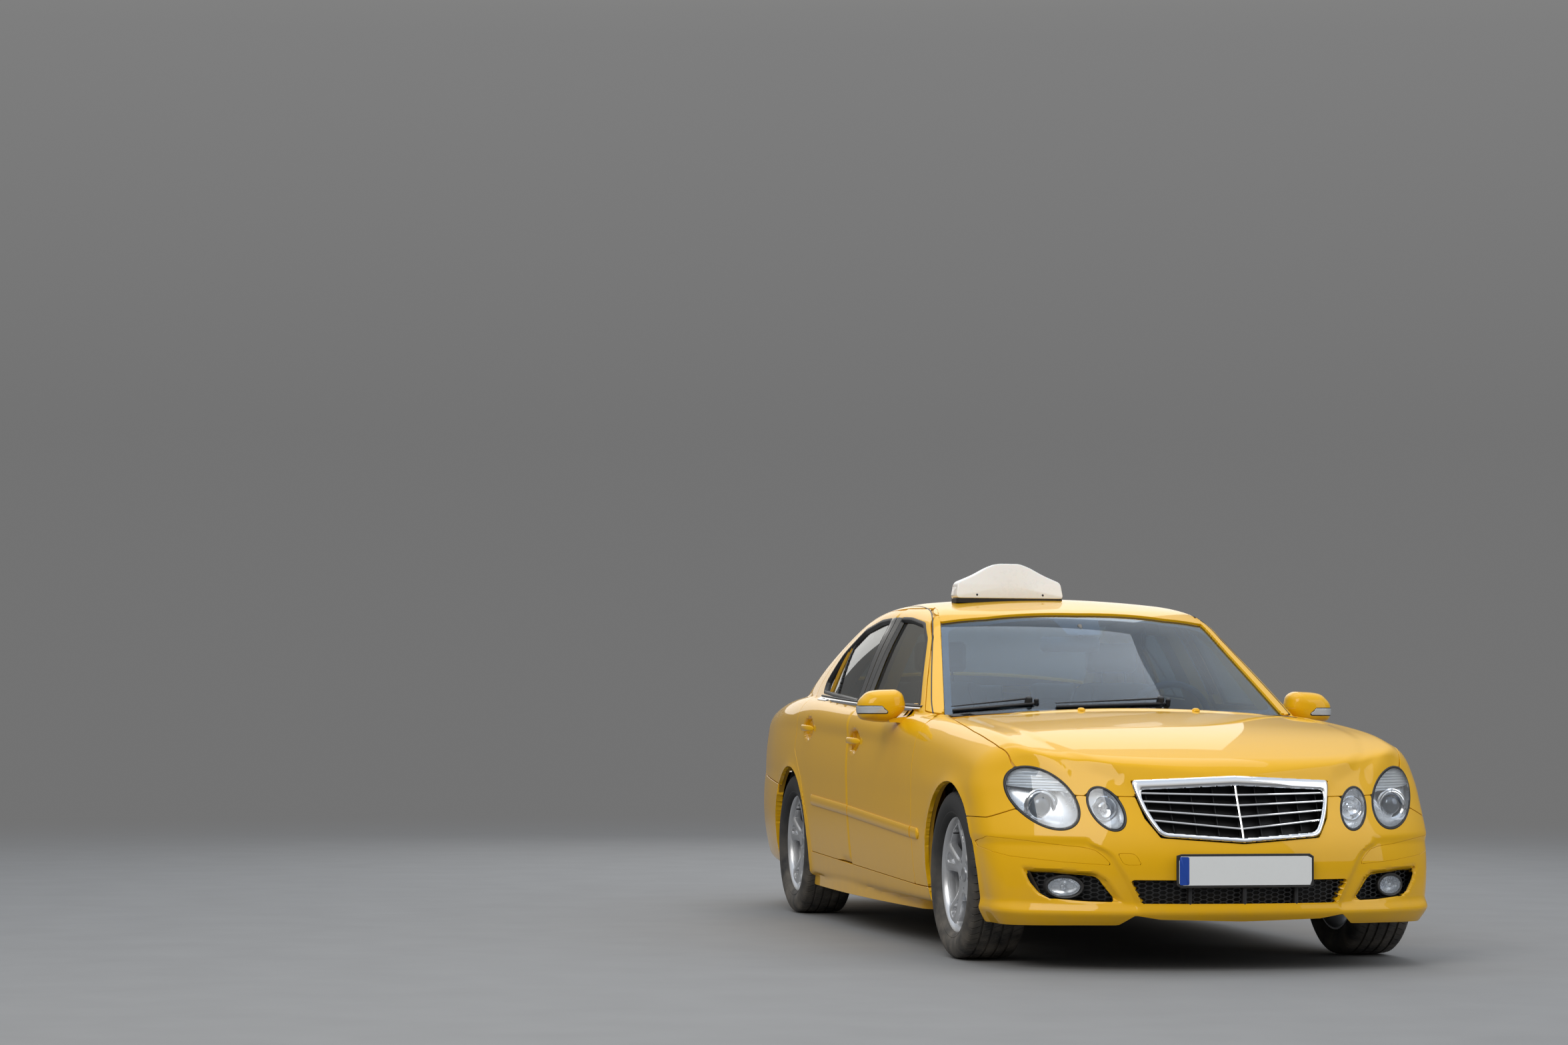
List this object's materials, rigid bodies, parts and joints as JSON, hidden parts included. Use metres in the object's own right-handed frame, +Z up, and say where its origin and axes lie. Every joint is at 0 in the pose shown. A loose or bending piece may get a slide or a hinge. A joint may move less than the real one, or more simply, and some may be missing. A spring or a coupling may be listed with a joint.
{
  "type": "taxi cab",
  "caption": "saloon taxi cab with opening doors, bonnet and boot lid, steered front wheels, alloy wheels and a raised sign on the roof",
  "frame": {"origin": "on the ground under the middle of the car, half way along its length", "axes": "+Z up, nose towards -Y, the driver's side is +X"},
  "size_m": [2.082, 4.856, 1.6],
  "materials": {
    "body_paint": "gloss",
    "chrome_trim": "polished",
    "alloy": "satin",
    "tyre_rubber": "matte",
    "window_glass": "polished",
    "lamp_clear": "polished",
    "lamp_red": "gloss",
    "black_plastic": "satin",
    "sign_white": "gloss",
    "dash_plastic": "matte",
    "seat_leather": "satin",
    "cast_parts": "matte",
    "primed_metal": "matte",
    "exhaust_steel": "satin"
  },
  "bodies": {
    "body": {"body_side_left": "body_paint", "body_side_right": "body_paint", "roof_panel": "body_paint", "front_fenders": "body_paint", "front_bumper": "body_paint", "rear_bumper": "body_paint", "windscreen": "window_glass", "rear_window": "window_glass", "headlamps": "lamp_clear", "fog_lamps": "lamp_clear", "tail_lamps": "lamp_red", "bumper_grilles": "black_plastic", "cowl_panel": "black_plastic", "taxi_sign": "sign_white", "dashboard": "dash_plastic", "front_seats": "seat_leather", "rear_bench": "seat_leather", "engine_block": "cast_parts", "floor_pan": "primed_metal", "front_structure": "primed_metal", "rear_structure": "primed_metal", "front_subframe": "primed_metal", "rear_subframe": "primed_metal", "exhaust_system": "exhaust_steel"},
    "bonnet": {"bonnet": "body_paint", "radiator_grille": "chrome_trim"},
    "boot_lid": {"boot_lid": "body_paint"},
    "door_front_left": {"door_front_left": "body_paint", "glass_front_left": "window_glass", "mirror_left": "body_paint"},
    "door_rear_left": {"door_rear_left": "body_paint", "glass_rear_left": "window_glass"},
    "knuckle_left": {"knuckle_left": "cast_parts"},
    "wheel_front_left": {"wheel_front_left": "alloy", "tyre_front_left": "tyre_rubber"},
    "wheel_rear_left": {"wheel_rear_left": "alloy", "tyre_rear_left": "tyre_rubber"},
    "door_front_right": {"door_front_right": "body_paint", "glass_front_right": "window_glass", "mirror_right": "body_paint"},
    "door_rear_right": {"door_rear_right": "body_paint", "glass_rear_right": "window_glass"},
    "knuckle_right": {"knuckle_right": "cast_parts"},
    "wheel_front_right": {"wheel_front_right": "alloy", "tyre_front_right": "tyre_rubber"},
    "wheel_rear_right": {"wheel_rear_right": "alloy", "tyre_rear_right": "tyre_rubber"},
    "steering_wheel": {"steering_wheel": "dash_plastic"}
  },
  "joints": [
    {"name": "bonnet_hinge", "type": "hinge", "parent": "body", "child": "bonnet", "pos_m": [0, -0.985, 0.9], "axis": [-1, 0, 0], "range_deg": [0, 45]},
    {"name": "boot_hinge", "type": "hinge", "parent": "body", "child": "boot_lid", "pos_m": [0, 1.4, 0.95], "axis": [1, 0, 0], "range_deg": [0, 65]},
    {"name": "door_front_left_hinge", "type": "hinge", "parent": "body", "child": "door_front_left", "pos_m": [0.887, -0.943, 0.55], "axis": [0, 0, -1], "range_deg": [0, 70]},
    {"name": "door_rear_left_hinge", "type": "hinge", "parent": "body", "child": "door_rear_left", "pos_m": [0.887, 0.138, 0.55], "axis": [0, 0, -1], "range_deg": [0, 70]},
    {"name": "steer_left", "type": "hinge", "parent": "body", "child": "knuckle_left", "pos_m": [0.705, -1.573, 0.324], "axis": [0, 0, 1], "range_deg": [-35, 35]},
    {"name": "spin_front_left", "type": "hinge", "parent": "knuckle_left", "child": "wheel_front_left", "pos_m": [0.7795, -1.573, 0.324], "axis": [1, 0, 0], "continuous": true},
    {"name": "spin_rear_left", "type": "hinge", "parent": "body", "child": "wheel_rear_left", "pos_m": [0.776, 1.281, 0.324], "axis": [1, 0, 0], "continuous": true},
    {"name": "door_front_right_hinge", "type": "hinge", "parent": "body", "child": "door_front_right", "pos_m": [-0.887, -0.943, 0.55], "axis": [0, 0, 1], "range_deg": [0, 70]},
    {"name": "door_rear_right_hinge", "type": "hinge", "parent": "body", "child": "door_rear_right", "pos_m": [-0.887, 0.138, 0.55], "axis": [0, 0, 1], "range_deg": [0, 70]},
    {"name": "steer_right", "type": "hinge", "parent": "body", "child": "knuckle_right", "pos_m": [-0.705, -1.573, 0.324], "axis": [0, 0, 1], "range_deg": [-35, 35]},
    {"name": "spin_front_right", "type": "hinge", "parent": "knuckle_right", "child": "wheel_front_right", "pos_m": [-0.7795, -1.573, 0.324], "axis": [1, 0, 0], "continuous": true},
    {"name": "spin_rear_right", "type": "hinge", "parent": "body", "child": "wheel_rear_right", "pos_m": [-0.776, 1.281, 0.324], "axis": [1, 0, 0], "continuous": true},
    {"name": "steering_column", "type": "hinge", "parent": "body", "child": "steering_wheel", "pos_m": [0.38, -0.4, 0.9], "axis": [0, 0.9135, 0.4067], "range_deg": [-490, 490]}
  ],
  "couplings": [
    {"joint": "steer_right", "follows": "steer_left", "ratio": 1},
    {"joint": "steering_column", "follows": "steer_left", "ratio": 14}
  ]
}
